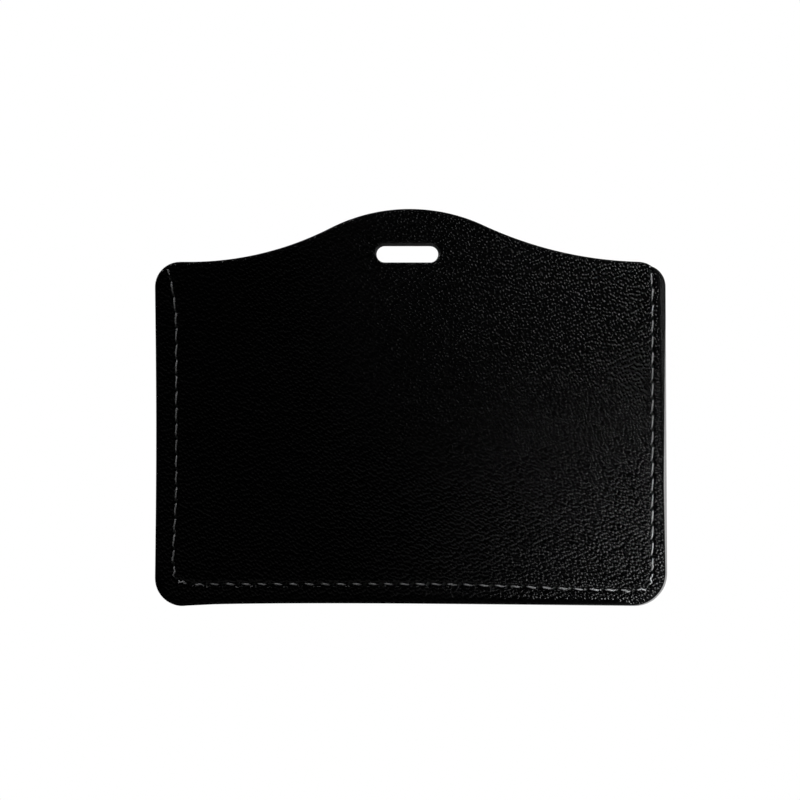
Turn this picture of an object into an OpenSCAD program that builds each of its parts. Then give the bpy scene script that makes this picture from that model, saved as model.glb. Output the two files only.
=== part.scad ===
// Horizontal identity badge wallet, sewn from imitation leather, with a clear window pocket.
// X runs across the wallet, Y from the plain leather back to the window front, Z up.
// The origin is the middle of the hang slot. Millimetres.

/* [Body] */
// Width of the sewn front, edge to edge
body_w = 110.2; // [104:0.2:124]
// Height from the bottom edge to the shoulders
body_h = 74.2; // [70:0.2:90]
// Corner radius at the left shoulder
shoulder_left_r = 5.4; // [4:0.2:8]
// Corner radius at the right shoulder
shoulder_right_r = 4.6; // [4:0.2:8]
// Corner radius at the bottom left
bottom_left_r = 6; // [4:0.5:9]
// Corner radius at the bottom right
bottom_right_r = 7; // [4:0.5:9]
// How far the long side edges are drawn in halfway up
side_bow = 0.25; // [0:0.05:0.6]
// How far the bottom edge is drawn up between its corners
bottom_bow = 0.55; // [0:0.05:0.8]

/* [Hanging hump] */
// Height of the crest above the shoulders
hump_rise = 11.4; // [9:0.2:15]
// Radius of the round crest
crest_r = 37.7; // [25:0.5:45]
// From the crest to where the left shoulder runs level
hump_left = 47.5; // [42:0.5:52]
// From the crest to where the right shoulder runs level
hump_right = 51.5; // [42:0.5:54]
// Crest's place, to the right of the body's middle
crest_x = -0.2; // [-1:0.1:1]

/* [Hang slot] */
// Length of the punched slot
slot_w = 14; // [12:0.5:16]
// Height of the punched slot
slot_h = 4.2; // [3:0.1:5]
// From the crest down to the slot's middle
slot_drop = 9.4; // [7:0.2:11]
// Slot's place, to the right of the body's middle
slot_x = -0.7; // [-1.5:0.1:1.5]

/* [Layers] */
// Thickness of the leather on the back
leather_t = 0.9; // [0.7:0.05:1.3]
// Thickness of the stiffening board
board_t = 0.6; // [0.5:0.05:1]
// Thickness of the lining that the card slides on
lining_t = 0.4; // [0.35:0.05:0.8]
// Thickness of the clear window film
film_t = 0.3; // [0.2:0.05:0.5]
// Thickness of the leather frame round the window
frame_t = 0.9; // [0.7:0.05:1.3]

/* [Card pocket] */
// Depth of the pocket between lining and film
pocket_gap = 0.9; // [0.8:0.1:2]
// Width of the sloping border where the front rises over the pocket
ramp_w = 2.4; // [1.6:0.2:3]
// From the seam to the foot of that slope
ramp_foot = 0.9; // [0.8:0.1:1.4]
// Corner radius at the foot of the slope
pocket_r = 4; // [3:0.5:6]
// From the shoulders down to the pocket's mouth
mouth_drop = 0.6; // [0.4:0.1:1]
// Width of the thumb notch in the mouth
notch_w = 26; // [20:1:34]
// Depth of the thumb notch
notch_depth = 4.5; // [3:0.5:5]
// Radius of the thumb notch's round bottom
notch_r = 9; // [7:0.5:10]

/* [Window] */
// Width of the frame beside the window, edge to opening
border_side = 10.1; // [9.5:0.1:14]
// Width of the frame above the window
border_top = 9.4; // [7:0.2:14]
// Width of the frame below the window
border_low = 9.6; // [9.5:0.1:14]
// Corner radius of the window opening
window_r = 3.5; // [2:0.5:8]

/* [Cutting play] */
// How much narrower than the front the back is at the shoulder, on the right
back_in_top = 1.35; // [0:0.05:1.6]
// How much narrower than the front the back is at the bottom, on the right
back_in_bottom = 0.15; // [0:0.05:0.8]
// How much the leather frame narrows towards the bottom, on the right
frame_in_bottom = 0.5; // [0:0.05:0.8]
// How far the film stands out at the bottom of the right side
film_out_side = 0.35; // [0:0.05:0.8]
// How far the film stands out under the right bottom corner
film_out_low = 0.1; // [0:0.05:0.8]
// How far both leathers are cut short at the right bottom corner
leather_in_low = 0.15; // [0:0.05:0.5]

/* [Seam] */
// Length of one stitch
stitch_pitch = 3.4; // [2.8:0.05:4.5]
// Thickness of the sewing thread
thread_d = 0.35; // [0.3:0.01:0.4]
// Free space between the two threads where they lock
thread_gap = 0.04; // [0.02:0.01:0.06]
// Free space between a thread and the wall of its needle hole
hole_gap = 0.03; // [0.03:0.01:0.06]
// How far the thread lies below the leather's face
thread_sunk = 0.03; // [0.02:0.01:0.08]
// From the needle holes to the walls of the groove that the thread lies in
groove_side = 0.1; // [0.05:0.05:0.2]
// From the left edge to the seam
seam_left = 4.6; // [4:0.1:5]
// From the right edge to the seam
seam_right = 3; // [2.7:0.1:4]
// From the bottom edge to the seam at the left
seam_low_left = 4.75; // [3.6:0.05:5]
// From the bottom edge to the seam at the right
seam_low_right = 3.3; // [2.8:0.1:5]
// Radius of the seam's two corners
seam_r = 3.1; // [2.5:0.1:4]
// From the shoulders down to the seam's first hole, on the left
seam_end_left = 3.8; // [2.5:0.1:6]
// From the shoulders down to the seam's last hole, on the right
seam_end_right = 2; // [1.9:0.1:5]
// Length of the back thread's end that lies past the first hole
thread_tail = 2.2; // [1:0.1:2.4]
// How far the left seam swings outwards at its top
flare = 1.25; // [0:0.05:1.4]
// Length over which it swings out
flare_len = 11; // [6:0.5:16]
// How far the right seam leans inwards at its top
lean = 0.4; // [0:0.1:0.8]
// Length over which it leans in
lean_len = 5; // [3:0.5:10]
// How far the left seam strays outwards near the bottom
stray = 0.65; // [0:0.05:1.2]
// Height above the bottom edge where it strays most
stray_h = 9.5; // [8:0.5:14]
// Length over which it strays and comes back, each way
stray_len = 17; // [12:0.5:24]

/* [Hidden] */

// Overrun of every cut past the face it opens
over = 0.5;
// Steps of curves and of long drawn-in edges
corner_steps = 8;
edge_steps = 12;
hump_steps = 56;
notch_steps = 24;
seam_steps = 30;
lean_steps = 4;
bore_fn = 32;
thread_sides = 6;
// Skew of the bottom edge's bow, whose peak lies nearer to the left corner
bow_skew_share = 0.55;
// Length over which a thread bends down into its hole, in thread thicknesses
bend_share = 0.8;

// Layers in Y, from the back's face to the front's, with the back panel's middle at zero
back_face = -(leather_t + board_t + lining_t) / 2;
board_y = back_face + leather_t;
lining_y = board_y + board_t;
film_y = lining_y + lining_t;
frame_y = film_y + film_t;
seam_face = frame_y + frame_t;
slot_z = body_h + hump_rise - slot_drop;
mouth_z = body_h - mouth_drop;

// Sizes of the lock between the two threads, and of the holes and grooves that hold them
thread_r = thread_d / 2;
lock_space = thread_d + thread_gap;
lock_reach = lock_space + thread_gap;
face_reach = lock_space / 2;
lock_y = (board_y + film_y) / 2;
bend = thread_d * bend_share;
crown = thread_sunk / 2;
leather_hole_d = lock_reach + face_reach + thread_d + 2 * hole_gap;
board_hole_d = 2 * lock_reach + thread_d + 2 * hole_gap;
groove_w = leather_hole_d + 2 * groove_side;
groove_depth = thread_d + thread_sunk;

function unit(v) = v / norm(v);
function left_of(t) = [-t[1], t[0]];
function ease(t) = t < 0 ? 0 : t > 1 ? 1 : (1 - cos(180 * t)) / 2;
function hill(t) = abs(t) > 1 ? 0 : (1 + cos(180 * t)) / 2;
function arc(c, r, from, to) =
    [for (i = [0:corner_steps]) let (a = from + (to - from) * i / corner_steps) c + r * [cos(a), sin(a)]];

// An edge from a to b, without its ends, drawn to its left by a bow. A skew under 1 brings the bow's
// peak nearer to a.
function drawn_edge(a, b, bow, skew = 1) =
    [for (i = [1:edge_steps - 1]) let (t = i / edge_steps)
        a + (b - a) * t + left_of(unit(b - a)) * bow * sin(180 * pow(t, skew))];

// Height of an ogee at x from its middle: a round crest of radius r that runs into hollow flanks
function ogee(x, rise, r, reach) =
    let (flank = (pow(reach, 2) + pow(rise, 2)) / (2 * rise) - r)
    x < r * reach / (r + flank) ? rise - r + sqrt(pow(r, 2) - pow(x, 2))
    : x < reach ? flank - sqrt(pow(flank, 2) - pow(reach - x, 2))
    : 0;
function hump(x) = ogee(abs(x - crest_x), hump_rise, crest_r, x < crest_x ? hump_left : hump_right);
function notch(x) = ogee(abs(x), notch_depth, notch_r, notch_w / 2);

// Points at x along a top edge at height z, from the right to the left
function humped_top(from, to) =
    [for (i = [1:hump_steps - 1]) let (x = from + (to - from) * i / hump_steps) [x, body_h + hump(x)]];
function notched_top() =
    [for (i = [notch_steps:-1:0]) let (x = notch_w * (i / notch_steps - 1 / 2)) [x, mouth_z - notch(x)]];

// Outline of a panel, from the bottom right corner round to the left. right_top and right_low are its
// right edge's places, low is how far the right bottom corner is let down.
function panel(right_top, right_low, low, top, humped) =
    let (left = -body_w / 2,
         a = [right_low - bottom_right_r, bottom_right_r - low],
         b = [right_top - shoulder_right_r, top - shoulder_right_r],
         c = [left + shoulder_left_r, top - shoulder_left_r],
         d = [left + bottom_left_r, bottom_left_r])
    concat(
        arc(a, bottom_right_r, -90, 0),
        arc(b, shoulder_right_r, 0, 90),
        humped ? humped_top(b[0], c[0]) : notched_top(),
        arc(c, shoulder_left_r, 90, 180),
        drawn_edge([left, c[1]], [left, d[1]], side_bow),
        arc(d, bottom_left_r, 180, 270),
        drawn_edge([d[0], 0], [a[0], -low], bottom_bow, bow_skew_share));

back_outline = panel(body_w / 2 - back_in_top, body_w / 2 - back_in_bottom, -leather_in_low, body_h, true);
frame_outline = panel(body_w / 2, body_w / 2 - frame_in_bottom, -leather_in_low, mouth_z, false);
film_outline = panel(body_w / 2, body_w / 2 + film_out_side, film_out_low, mouth_z, false);

// Course of the seam, down the left side, along the bottom and up the right side
seam_top_left = body_h - seam_end_left;
seam_top_right = body_h - seam_end_right;
function swing(z, top, reach, len) = reach * pow(max(0, (z - top + len) / len), 2);
function seam_x(z) =
    -body_w / 2 + seam_left - swing(z, seam_top_left, flare, flare_len)
    - stray * hill((z - stray_h) / stray_len);
function seam_z(x) = seam_low_left + (seam_low_right - seam_low_left) * ease(2 * x / body_w);

seam_corner_z = seam_low_left + seam_r;
seam_corner_left = seam_x(seam_corner_z) + seam_r;
seam_side = body_w / 2 - seam_right;
seam_corner_right = seam_side - seam_r;
seam = concat(
    [for (i = [0:seam_steps - 1])
        let (z = seam_top_left + (seam_corner_z - seam_top_left) * i / seam_steps) [seam_x(z), z]],
    arc([seam_corner_left, seam_corner_z], seam_r, 180, 270),
    [for (i = [1:seam_steps - 1])
        let (x = seam_corner_left + (seam_corner_right - seam_corner_left) * i / seam_steps) [x, seam_z(x)]],
    arc([seam_corner_right, seam_low_right + seam_r], seam_r, 270, 360),
    [for (i = [0:lean_steps])
        let (z = seam_top_right - lean_len * (1 - i / lean_steps))
            [seam_side - swing(z, seam_top_right, lean, lean_len), z]]);

// Needle holes, evenly spaced along the seam
function run_to(path) =
    [for (i = 0, s = 0; i < len(path); i = i + 1, s = i < len(path) ? s + norm(path[i] - path[i - 1]) : s) s];
seam_run = run_to(seam);
seam_len = seam_run[len(seam) - 1];
stitches = round(seam_len / stitch_pitch);
function seam_at(s) =
    let (i = max([for (k = [0:len(seam) - 2]) if (seam_run[k] <= s) k]))
    seam[i] + (seam[i + 1] - seam[i]) * (s - seam_run[i]) / (seam_run[i + 1] - seam_run[i]);
holes = [for (k = [0:stitches]) seam_at(min(seam_len * k / stitches, seam_len))];
function along(k) = unit(holes[min(k + 1, stitches)] - holes[max(k - 1, 0)]);

// Band of a given width along the holes, carried past the two end holes by half that width, and further
// past the first one by a tail
function band(w, tail = 0) =
    let (side = [for (k = [0:stitches]) left_of(along(k)) * w / 2],
         first = -along(0) * (w / 2 + tail),
         last = along(stitches) * w / 2)
    concat(
        [holes[0] + side[0] + first], [for (k = [0:stitches]) holes[k] + side[k]],
        [holes[stitches] + side[stitches] + last, holes[stitches] - side[stitches] + last],
        [for (k = [stitches:-1:0]) holes[k] - side[k]], [holes[0] - side[0] + first]);

// Moves a panel's own x, y, z to the shared frame, whose origin is the slot's middle
module in_frame() { translate([-slot_x, 0, -slot_z]) children(); }

// A flat sheet from y to y + t with the outline of its children
module sheet(y, t) {
    translate([0, y + t, 0]) rotate([90, 0, 0]) linear_extrude(t) children();
}

// A round hole along Y, from y on, at a point of the panel
module bore(p, y, t, d) {
    translate([p[0], y, p[1]]) rotate([-90, 0, 0]) cylinder(h = t, d = d, $fn = bore_fn);
}

module needle_holes(y, t, d) {
    for (p = holes) bore(p, y - over, t + 2 * over, d);
}

module rounded(x0, x1, z0, z1, r) {
    for (x = [x0 + r, x1 - r], z = [z0 + r, z1 - r]) translate([x, z]) circle(r, $fn = bore_fn);
    translate([x0 + r, z0]) square([x1 - x0 - 2 * r, z1 - z0]);
    translate([x0, z0 + r]) square([x1 - x0, z1 - z0 - 2 * r]);
}

module slot_profile() {
    straight = slot_w - slot_h;
    for (side = [-1, 1]) translate([slot_x + side * straight / 2, slot_z]) circle(d = slot_h, $fn = bore_fn);
    translate([slot_x - straight / 2, slot_z - slot_h / 2]) square([straight, slot_h]);
}

// Back panel: three layers cut to one outline and punched together
module back_profile() {
    difference() {
        polygon(back_outline);
        slot_profile();
    }
}

// Outline of the raised pocket, drawn in by d from the slope's foot and open past the mouth
function pocket(d) =
    let (left = -body_w / 2 + seam_left + ramp_foot + d,
         right = body_w / 2 - seam_right - ramp_foot - d,
         low = seam_low_left + ramp_foot + d,
         r = pocket_r,
         top = body_h + over)
    concat(arc([left + r, low + r], r, 180, 270), arc([right - r, low + r], r, 270, 360),
           [[right, top], [left, top]]);

// A solid between outlines of as many points, one above the other in Y
module loft(outlines, levels) {
    n = len(outlines[0]);
    last = len(levels) - 1;
    polyhedron(
        points = [for (i = [0:last], p = outlines[i]) [p[0], levels[i], p[1]]],
        faces = concat(
            [[for (k = [n - 1:-1:0]) k]],
            [for (i = [0:last - 1], k = [0:n - 1])
                [k + n * i, (k + 1) % n + n * i, (k + 1) % n + n * (i + 1), k + n * (i + 1)]],
            [[for (k = [0:n - 1]) k + n * last]]),
        convexity = 4);
}

// The pocket's room, from below y up to the raised front's underside
module pocket_room(y) {
    loft([pocket(0), pocket(0), pocket(ramp_w)], [y - over, y, y + pocket_gap]);
}

// A front layer of thickness t on the lining side's plane y, raised over the pocket
module formed_sheet(y, t, outline) {
    difference() {
        union() {
            sheet(y, t) polygon(outline);
            intersection() {
                sheet(y, t + pocket_gap) polygon(outline);
                translate([0, t, 0]) pocket_room(y);
            }
        }
        pocket_room(y);
        needle_holes(y, t, leather_hole_d);
    }
}

// Slides each point of a ring along d to the plane through a point, with normal n
function slid(ring, d, at, n) = [for (p = ring) p + d * ((at - p) * n) / (d * n)];
function first_ring(at, d, r) =
    let (u = unit(cross(d, [0, 0, 1])), v = cross(d, u))
    [for (i = [0:thread_sides - 1]) let (a = 360 * i / thread_sides) at + r * (u * cos(a) + v * sin(a))];

// One unbroken thread along a path, mitred at each bend
module thread(path) {
    last = len(path) - 1;
    d = [for (i = [0:last - 1]) unit(path[i + 1] - path[i])];
    rings = [for (i = 0, ring = first_ring(path[0], d[0], thread_r); i <= last;
                  i = i + 1,
                  ring = i > last ? ring
                      : slid(ring, d[i - 1], path[i], i < last ? unit(d[i - 1] + d[i]) : d[i - 1])) ring];
    n = thread_sides;
    polyhedron(
        points = [for (ring = rings, p = ring) p],
        faces = concat(
            [[for (k = [0:n - 1]) k]],
            [for (i = [0:last - 1], k = [0:n - 1])
                [k + n * i, k + n * (i + 1), (k + 1) % n + n * (i + 1), (k + 1) % n + n * i]],
            [[for (k = [n - 1:-1:0]) k + n * last]]),
        convexity = 10);
}

function place(p, y) = [p[0], y, p[1]];

// A thread's way through all holes: along the face at face_y, down a leg to turn_y, across the hole and up
// the other leg. The two legs lie across the seam, so that the stitches slant, or else one behind the other.
// A tail is the thread's end that lies on the face before the first hole.
function leg_way(k, slanting) = slanting ? left_of(along(k)) : along(k);
function thread_path(face_y, turn_y, slanting, tail = 0) =
    let (bend_y = face_y + (turn_y > face_y ? 1 : -1) * bend / 2,
         crown_y = face_y - (turn_y > face_y ? 1 : -1) * crown)
    [for (k = [0:stitches])
        let (p = holes[k], t = along(k), way = leg_way(k, slanting),
             p_in = p - way * face_reach, p_out = p + way * face_reach,
             next = min(k + 1, stitches), next_in = holes[next] - leg_way(next, slanting) * face_reach)
        each concat(
            k == 0 && tail > 0 ? [place(p_in - t * tail, face_y)] : [],
            k > 0 || tail > 0 ? [place(p_in - t * bend, face_y), place(p_in, bend_y)] : [],
            [place(p - way * lock_reach, turn_y), place(p + way * lock_reach, turn_y)],
            k < stitches ? [place(p_out, bend_y), place(p_out + t * bend, face_y),
                            place((p_out + next_in) / 2, crown_y)] : [])];

module back_leather() {
    color([0.09, 0.09, 0.1]) in_frame() difference() {
        sheet(back_face, leather_t) back_profile();
        sheet(back_face - over, groove_depth + over) polygon(band(groove_w, thread_tail));
        needle_holes(back_face, leather_t, leather_hole_d);
    }
}

module backing_board() {
    color([0.5, 0.46, 0.4]) in_frame() difference() {
        sheet(board_y, board_t) back_profile();
        needle_holes(board_y, board_t, board_hole_d);
    }
}

module inner_lining() {
    color([0.2, 0.2, 0.22]) in_frame() difference() {
        sheet(lining_y, lining_t) back_profile();
        needle_holes(lining_y, lining_t, board_hole_d);
    }
}

module window_film() {
    color([0.82, 0.88, 0.92, 0.45]) in_frame() formed_sheet(film_y, film_t, film_outline);
}

module front_frame() {
    color([0.11, 0.11, 0.12]) in_frame() difference() {
        formed_sheet(frame_y, frame_t, frame_outline);
        sheet(frame_y - over, frame_t + pocket_gap + 2 * over)
            rounded(border_side - body_w / 2, body_w / 2 - border_side, border_low, mouth_z - border_top,
                    window_r);
        sheet(seam_face - groove_depth, groove_depth + over) polygon(band(groove_w));
    }
}

// The thread seen on the window front
module needle_thread() {
    color([0.3, 0.3, 0.32]) in_frame()
        thread(thread_path(seam_face - thread_sunk - thread_r, lock_y - lock_space / 2, false));
}

// The thread seen on the plain back
module bobbin_thread() {
    color([0.36, 0.36, 0.38]) in_frame()
        thread(thread_path(back_face + thread_sunk + thread_r, lock_y + lock_space / 2, true, thread_tail));
}

echo(stitches = stitches, seam_length = seam_len, slot_below_crest = slot_drop);

back_leather();
backing_board();
inner_lining();
window_film();
front_frame();
needle_thread();
bobbin_thread();
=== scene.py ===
"""Dresses a horizontal identity badge wallet: imitation leather, vinyl, board and sewing thread.

Sizes are in millimetres and in the panel's own x, y, z until a mesh is written. There x is measured from
the body's middle, y from the middle of the back panel's layers and z from the bottom edge.
"""

import logging
import math
from collections.abc import Callable, Iterable
from dataclasses import dataclass, field
from enum import Enum

import bpy
import numpy as np
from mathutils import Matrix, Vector, noise
from mathutils.geometry import delaunay_2d_cdt


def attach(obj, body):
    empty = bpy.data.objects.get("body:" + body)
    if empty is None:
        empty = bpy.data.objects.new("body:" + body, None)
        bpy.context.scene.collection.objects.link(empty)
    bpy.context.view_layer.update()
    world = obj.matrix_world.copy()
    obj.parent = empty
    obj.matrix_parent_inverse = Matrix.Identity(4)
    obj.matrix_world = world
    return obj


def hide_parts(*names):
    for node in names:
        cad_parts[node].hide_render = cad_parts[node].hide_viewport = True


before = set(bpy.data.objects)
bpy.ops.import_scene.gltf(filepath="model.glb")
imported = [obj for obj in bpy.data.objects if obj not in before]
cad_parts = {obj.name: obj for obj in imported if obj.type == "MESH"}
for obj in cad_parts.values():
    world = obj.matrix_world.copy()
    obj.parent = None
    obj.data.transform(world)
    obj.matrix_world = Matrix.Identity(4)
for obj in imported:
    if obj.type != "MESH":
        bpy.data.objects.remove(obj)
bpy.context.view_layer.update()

LOG = logging.getLogger("badge_wallet")
MM = 0.001
FAR_OFF = 1e9
SAME_POINT = 1e-6
NOISE_SHARES = (0.3, 0.7)
WHITE = (1.0, 1.0, 1.0, 1.0)
Points = np.ndarray
Tree = bpy.types.NodeTree
Node = bpy.types.Node
Socket = bpy.types.NodeSocket


class Good(Enum):
    """Which of a sheet's two faces is finished, seen from the plain back."""

    NEAR = "near"
    FAR = "far"
    BOTH = "both"


class Legs(Enum):
    """How a thread's two legs stand in their needle hole."""

    ACROSS_SEAM = "across"
    ALONG_SEAM = "along"


# Small helpers


def linear(hex_colour: str) -> tuple[float, float, float, float]:
    """Turns an sRGB hex colour into linear RGBA.

    Args:
        hex_colour: six hex digits, such as "1A1A1C".

    Returns:
        Linear red, green and blue, and an alpha of 1.
    """
    shares = [int(hex_colour[i:i + 2], 16) / 255 for i in (0, 2, 4)]
    made = [s / 12.92 if s <= 0.04045 else ((s + 0.055) / 1.055) ** 2.4 for s in shares]
    return (made[0], made[1], made[2], 1.0)


def ease(t: np.ndarray) -> np.ndarray:
    """Rises from 0 to 1 along half a cosine while t goes from 0 to 1."""
    return (1 - np.cos(np.pi * np.clip(t, 0, 1))) / 2


def hill(t: np.ndarray) -> np.ndarray:
    """A cosine hill: 1 where t is 0, and 0 where t is past -1 or 1."""
    return np.where(np.abs(t) > 1, 0.0, (1 + np.cos(np.pi * t)) / 2)


def left_of(v: Points) -> Points:
    """Turns plane vectors a quarter turn to the left."""
    return np.stack([-v[..., 1], v[..., 0]], axis=-1)


def unit(v: Points) -> Points:
    """Gives vectors a length of 1."""
    return v / np.linalg.norm(v, axis=-1, keepdims=True)


def arc(centre: Iterable[float], r: float, start: float, end: float, steps: int = 8) -> Points:
    """Points on an arc.

    Args:
        centre: the arc's centre.
        r: its radius.
        start: the first angle, in degrees.
        end: the last angle, in degrees.
        steps: how many chords it has.

    Returns:
        steps + 1 plane points.
    """
    a = np.radians(np.linspace(start, end, steps + 1))
    return np.asarray(list(centre)) + r * np.stack([np.cos(a), np.sin(a)], axis=1)


def run_of(line: Points) -> np.ndarray:
    """How far along a line each of its points is."""
    return np.concatenate([[0.0], np.cumsum(np.linalg.norm(np.diff(line, axis=0), axis=1))])


def spaced(line: Points, step: float, closed: bool = False) -> Points:
    """Places points at even spaces along a line.

    Args:
        line: the line's points, in the plane or in space.
        step: about how far apart the new points are.
        closed: whether the line is a loop.

    Returns:
        The new points. A loop's first point isn't repeated.
    """
    if closed:
        line = np.vstack([line, line[:1]])
    run = run_of(line)
    count = max(3, round(run[-1] / step))
    at = np.linspace(0, run[-1], count + 1)[:count + (0 if closed else 1)]
    return np.stack([np.interp(at, run, line[:, i]) for i in range(line.shape[1])], axis=1)


def inset(loop: Points, d: float) -> Points:
    """Moves an anticlockwise loop's points inwards by d, or outwards where d is negative."""
    along = unit(np.roll(loop, -1, axis=0) - np.roll(loop, 1, axis=0))
    return loop + left_of(along) * d


def inside(points: Points, loop: Points) -> np.ndarray:
    """Tells which points lie within a loop.

    Args:
        points: the plane points.
        loop: the loop.

    Returns:
        One truth value for each point.
    """
    x, z = points[:, 0], points[:, 1]
    hit = np.zeros(len(points), bool)
    for (x0, z0), (x1, z1) in zip(loop, np.roll(loop, -1, axis=0)):
        if z0 != z1:
            crosses = (z0 > z) != (z1 > z)
            hit ^= crosses & (x < (x1 - x0) * (z - z0) / (z1 - z0) + x0)
    return hit


def gap_to(points: Points, loop: Points) -> np.ndarray:
    """Measures from each point to the nearest stretch of a loop.

    Args:
        points: the plane points.
        loop: the loop.

    Returns:
        The distances.
    """
    best = np.full(len(points), FAR_OFF)
    for a, b in zip(loop, np.roll(loop, -1, axis=0)):
        t = np.clip(((points - a) @ (b - a)) / max((b - a) @ (b - a), SAME_POINT**2), 0, 1)
        best = np.minimum(best, np.linalg.norm(points - a - t[:, None] * (b - a), axis=1))
    return best


@dataclass(frozen=True)
class Swell:
    """A sheet's smooth unevenness: its height, about how wide one swell is and which pattern it takes."""

    height: float
    size: float
    seed: float

    def over(self, x: np.ndarray, z: np.ndarray) -> np.ndarray:
        """The unevenness at plane points."""
        spots = zip(x / self.size, z / self.size)
        return self.height * np.array([noise.noise(Vector((a, b, self.seed))) for a, b in spots])


def new_object(name: str, data: bpy.types.ID) -> bpy.types.Object:
    """Puts a mesh, a lamp or a camera into the scene.

    Args:
        name: the object's name.
        data: the mesh, lamp or camera.

    Returns:
        The object.
    """
    made = bpy.data.objects.new(name, data)
    bpy.context.scene.collection.objects.link(made)
    return made


# The wallet's plan


@dataclass(frozen=True)
class Plan:
    """Sizes and outlines that the pieces share, the same as in the solids."""

    body_w: float = 110.2
    body_h: float = 74.2
    shoulder_left_r: float = 5.4
    shoulder_right_r: float = 4.6
    bottom_left_r: float = 6.0
    bottom_right_r: float = 7.0
    side_bow: float = 0.25
    bottom_bow: float = 0.55
    bow_skew: float = 0.55
    hump_rise: float = 11.4
    crest_r: float = 37.7
    hump_left: float = 47.5
    hump_right: float = 51.5
    crest_x: float = -0.2
    slot_w: float = 14.0
    slot_h: float = 4.2
    slot_x: float = -0.7
    slot_z: float = 76.2
    back_face: float = -0.95
    board_y: float = -0.05
    lining_y: float = 0.55
    film_y: float = 0.95
    frame_y: float = 1.25
    seam_face: float = 2.15
    pocket_gap: float = 0.9
    ramp_w: float = 2.4
    ramp_foot: float = 0.9
    pocket_r: float = 4.0
    pocket_over: float = 20.0
    mouth_z: float = 73.6
    notch_w: float = 26.0
    notch_depth: float = 4.5
    notch_r: float = 9.0
    border_side: float = 10.1
    border_top: float = 9.4
    border_low: float = 9.6
    window_r: float = 3.5
    back_in_top: float = 1.35
    back_in_bottom: float = 0.15
    frame_in_bottom: float = 0.5
    film_out_side: float = 0.35
    film_out_low: float = 0.1
    leather_in_low: float = 0.15
    stitch_pitch: float = 3.4
    seam_left: float = 4.6
    seam_right: float = 3.0
    seam_low_left: float = 4.75
    seam_low_right: float = 3.3
    seam_r: float = 3.1
    seam_end_left: float = 3.8
    seam_end_right: float = 2.0
    thread_tail: float = 2.2
    flare: float = 1.25
    flare_len: float = 11.0
    lean: float = 0.4
    lean_len: float = 5.0
    stray: float = 0.65
    stray_h: float = 9.5
    stray_len: float = 17.0
    seam_steps: int = 30
    lean_steps: int = 4
    corner_steps: int = 16
    slot_steps: int = 14
    edge_steps: int = 60
    crest_steps: int = 160
    notch_steps: int = 60

    def ogee(self, x: np.ndarray, rise: float, r: float, reach: np.ndarray) -> np.ndarray:
        """Height of a round crest that runs into hollow flanks.

        Args:
            x: distance from the crest.
            rise: the crest's height.
            r: the crest's radius.
            reach: from the crest to where the flank runs level.

        Returns:
            The height at each x.
        """
        flank = (reach**2 + rise**2) / (2 * rise) - r
        round_part = rise - r + np.sqrt(np.maximum(r**2 - x**2, 0))
        hollow = flank - np.sqrt(np.maximum(flank**2 - (reach - x) ** 2, 0))
        return np.where(x < r * reach / (r + flank), round_part, np.where(x < reach, hollow, 0))

    def hump(self, x: np.ndarray) -> np.ndarray:
        """Height of the hanging hump above the shoulders."""
        reach = np.where(x < self.crest_x, self.hump_left, self.hump_right)
        return self.ogee(np.abs(x - self.crest_x), self.hump_rise, self.crest_r, reach)

    def notch(self, x: np.ndarray) -> np.ndarray:
        """Depth of the thumb notch below the mouth."""
        return self.ogee(np.abs(x), self.notch_depth, self.notch_r, np.full_like(x, self.notch_w / 2))

    def drawn_edge(self, a: Points, b: Points, bow: float, skew: float = 1.0) -> Points:
        """A bowed edge from a to b, without its two ends."""
        t = np.linspace(0, 1, self.edge_steps + 1)[1:-1, None]
        return a + (b - a) * t + left_of(unit(b - a)) * bow * np.sin(np.pi * t**skew)

    def panel(self, right_top: float, right_low: float, low: float, top: float, humped: bool) -> Points:
        """Outline of a panel, anticlockwise from its bottom right corner.

        Args:
            right_top: x of the right edge at the shoulder.
            right_low: x of the right edge at the bottom.
            low: how far the right bottom corner is let down.
            top: height of the straight part of the top edge.
            humped: whether the top has the hump, or else the thumb notch.

        Returns:
            The outline's points.
        """
        left = -self.body_w / 2
        a = np.array([right_low - self.bottom_right_r, self.bottom_right_r - low])
        b = np.array([right_top - self.shoulder_right_r, top - self.shoulder_right_r])
        c = np.array([left + self.shoulder_left_r, top - self.shoulder_left_r])
        d = np.array([left + self.bottom_left_r, self.bottom_left_r])
        if humped:
            x = np.linspace(b[0], c[0], self.crest_steps + 1)[1:-1]
            crown = np.stack([x, self.body_h + self.hump(x)], axis=1)
        else:
            x = np.linspace(self.notch_w / 2, -self.notch_w / 2, self.notch_steps + 1)
            crown = np.stack([x, self.mouth_z - self.notch(x)], axis=1)
        steps = self.corner_steps
        return np.vstack([
            arc(a, self.bottom_right_r, -90, 0, steps), arc(b, self.shoulder_right_r, 0, 90, steps), crown,
            arc(c, self.shoulder_left_r, 90, 180, steps),
            self.drawn_edge(np.array([left, c[1]]), np.array([left, d[1]]), self.side_bow),
            arc(d, self.bottom_left_r, 180, 270, steps),
            self.drawn_edge(np.array([d[0], 0.0]), np.array([a[0], -low]), self.bottom_bow, self.bow_skew)])

    def back_outline(self) -> Points:
        """Outline of the leather back, the board and the lining."""
        half = self.body_w / 2
        return self.panel(half - self.back_in_top, half - self.back_in_bottom, -self.leather_in_low,
                          self.body_h, True)

    def frame_outline(self) -> Points:
        """Outline of the leather frame."""
        half = self.body_w / 2
        return self.panel(half, half - self.frame_in_bottom, -self.leather_in_low, self.mouth_z, False)

    def film_outline(self) -> Points:
        """Outline of the window film."""
        half = self.body_w / 2
        return self.panel(half, half + self.film_out_side, self.film_out_low, self.mouth_z, False)

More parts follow.
